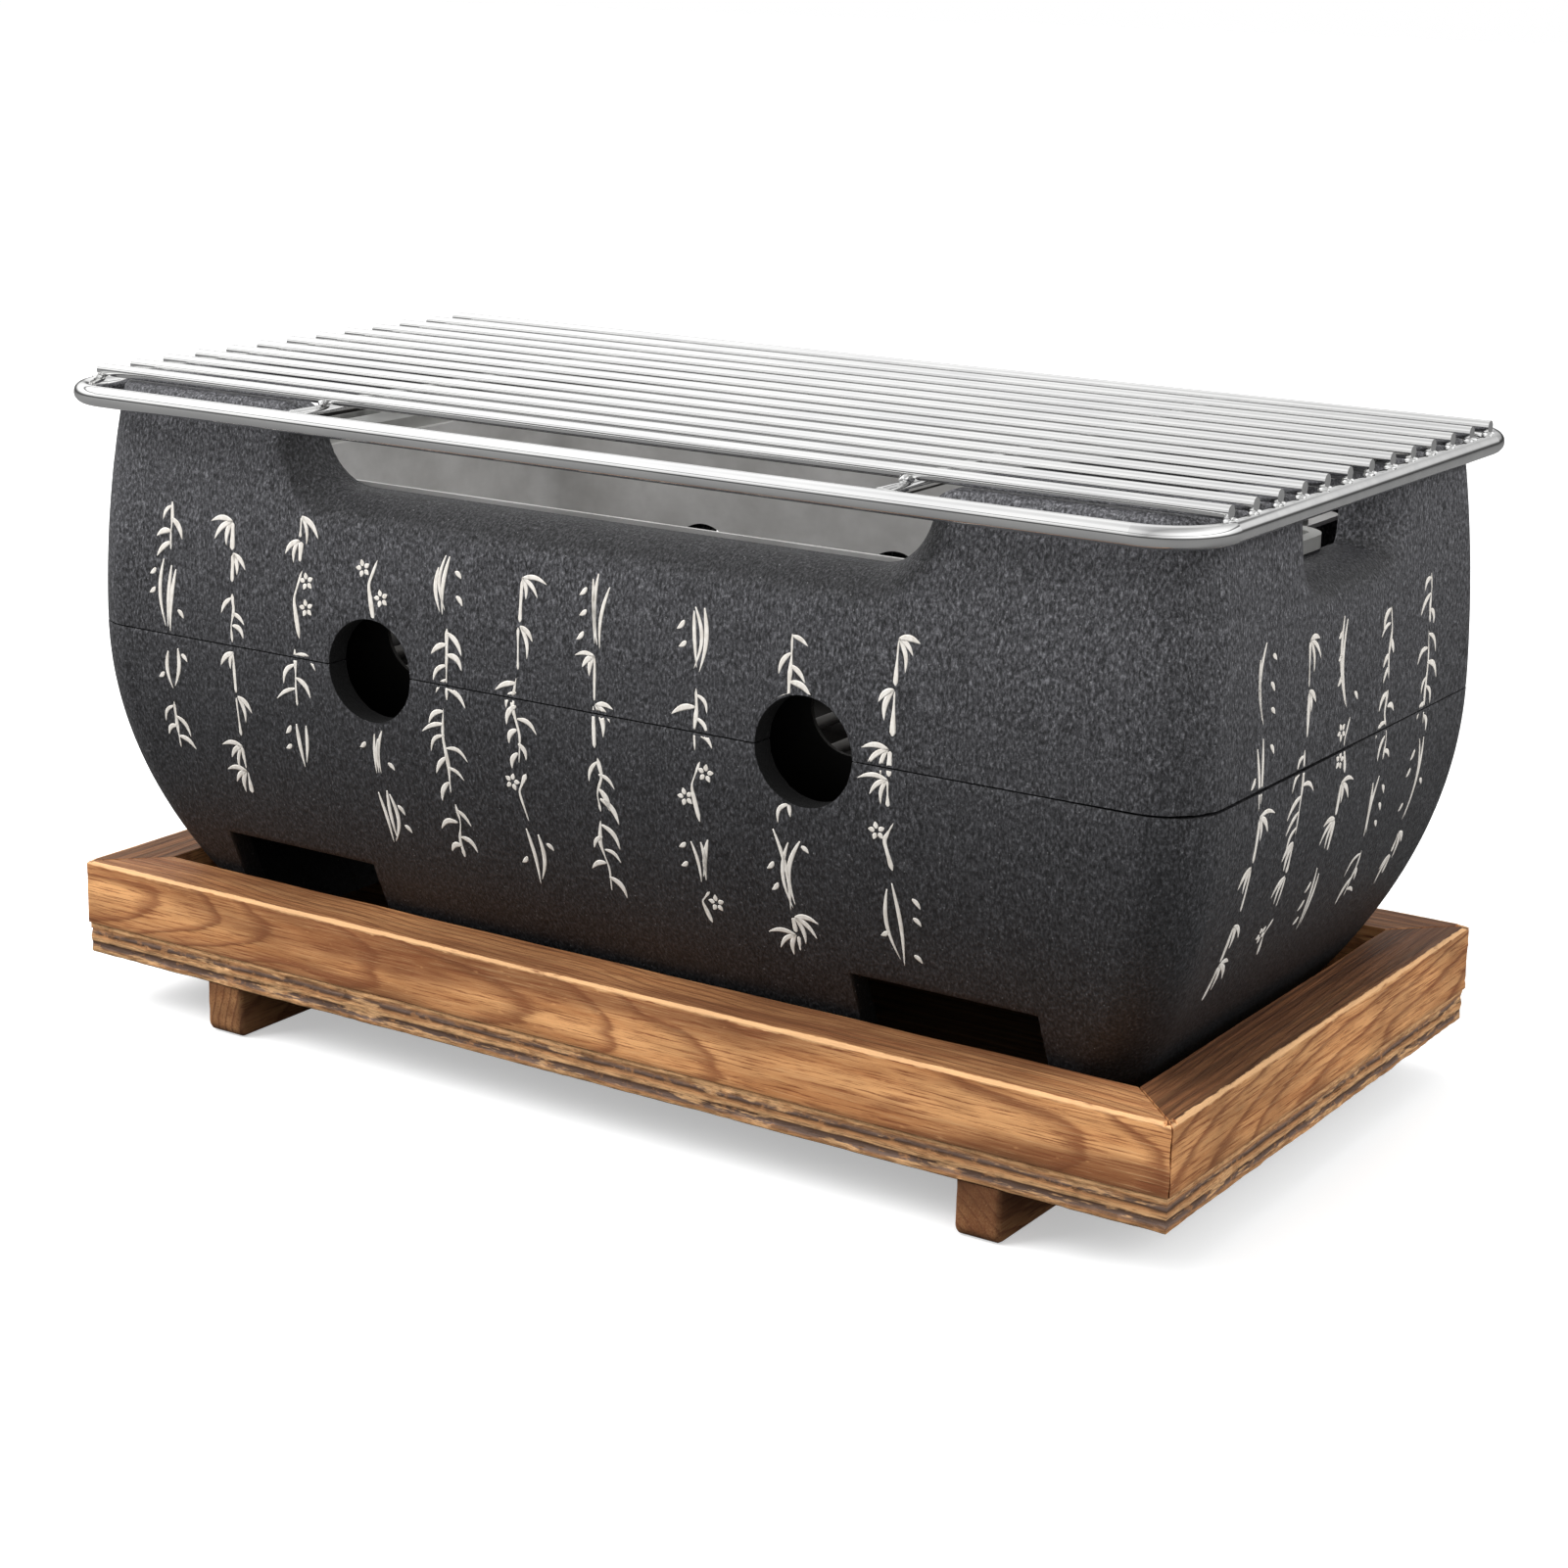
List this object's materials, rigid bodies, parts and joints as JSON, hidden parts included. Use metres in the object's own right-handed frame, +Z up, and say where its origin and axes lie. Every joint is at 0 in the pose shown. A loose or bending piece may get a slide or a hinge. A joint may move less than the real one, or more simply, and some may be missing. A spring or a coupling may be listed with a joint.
{
  "type": "hibachi grill",
  "caption": "Tabletop hibachi grill: barrel-sided cast firebox with vents and notches, steel fuel liner, lift-off wire grate, charred wood tray on two battens.",
  "frame": {"origin": "on the ground, under the middle of the tray", "axes": "+X along the grill's length, -Y the front, +Z up"},
  "size_m": [0.2532, 0.139, 0.1324],
  "materials": {
    "charred_pine": "torched softwood, dark grain, satin",
    "charred_plywood": "torched plywood edge, rough plies",
    "black_casting": "black textured heat-resistant coating on cast aluminium",
    "cream_print": "matt cream ink",
    "dull_steel": "dull stainless sheet, faint heat mottling",
    "tab_steel": "cut stainless plate",
    "zinc_steel": "zinc-plated",
    "polished_wire": "bright polished stainless wire"
  },
  "bodies": {
    "tray": {"tray_board": "charred_plywood", "tray_rail_front": "charred_pine", "tray_rail_back": "charred_pine", "tray_rail_left": "charred_pine", "tray_rail_right": "charred_pine", "tray_foot_left": "charred_pine", "tray_foot_right": "charred_pine", "tray_rail_nails": "zinc_steel", "tray_foot_nails": "zinc_steel"},
    "firebox": {"firebox_upper": "black_casting", "firebox_lower": "black_casting", "firebox_screws": "zinc_steel"},
    "liner": {"liner_trough": "dull_steel", "liner_tab_left": "tab_steel", "liner_tab_right": "tab_steel", "liner_pegs": "tab_steel"},
    "charcoal_rack": {"charcoal_rack_frame": "dull_steel", "charcoal_rack_bars": "dull_steel", "charcoal_rack_leg_left": "dull_steel", "charcoal_rack_leg_right": "dull_steel"},
    "cooking_grate": {"grate_frame": "polished_wire", "grate_cross_wire_left": "polished_wire", "grate_cross_wire_right": "polished_wire", "grate_bar_01": "polished_wire", "grate_bar_02": "polished_wire", "grate_bar_03": "polished_wire", "grate_bar_04": "polished_wire", "grate_bar_05": "polished_wire", "grate_bar_06": "polished_wire", "grate_bar_07": "polished_wire", "grate_bar_08": "polished_wire", "grate_bar_09": "polished_wire", "grate_bar_10": "polished_wire", "grate_bar_11": "polished_wire", "grate_bar_12": "polished_wire", "grate_bar_13": "polished_wire"}
  },
  "joints": [
    {"name": "firebox_lift", "type": "slide", "parent": "tray", "child": "firebox", "axis": [0, 0, 1], "range_m": [0, 0.12]},
    {"name": "liner_lift", "type": "slide", "parent": "firebox", "child": "liner", "axis": [0, 0, 1], "range_m": [0, 0.1]},
    {"name": "charcoal_rack_lift", "type": "slide", "parent": "liner", "child": "charcoal_rack", "axis": [0, 0, 1], "range_m": [0, 0.08]},
    {"name": "grate_lift", "type": "slide", "parent": "charcoal_rack", "child": "cooking_grate", "axis": [0, 0, 1], "range_m": [0, 0.1]}
  ]
}
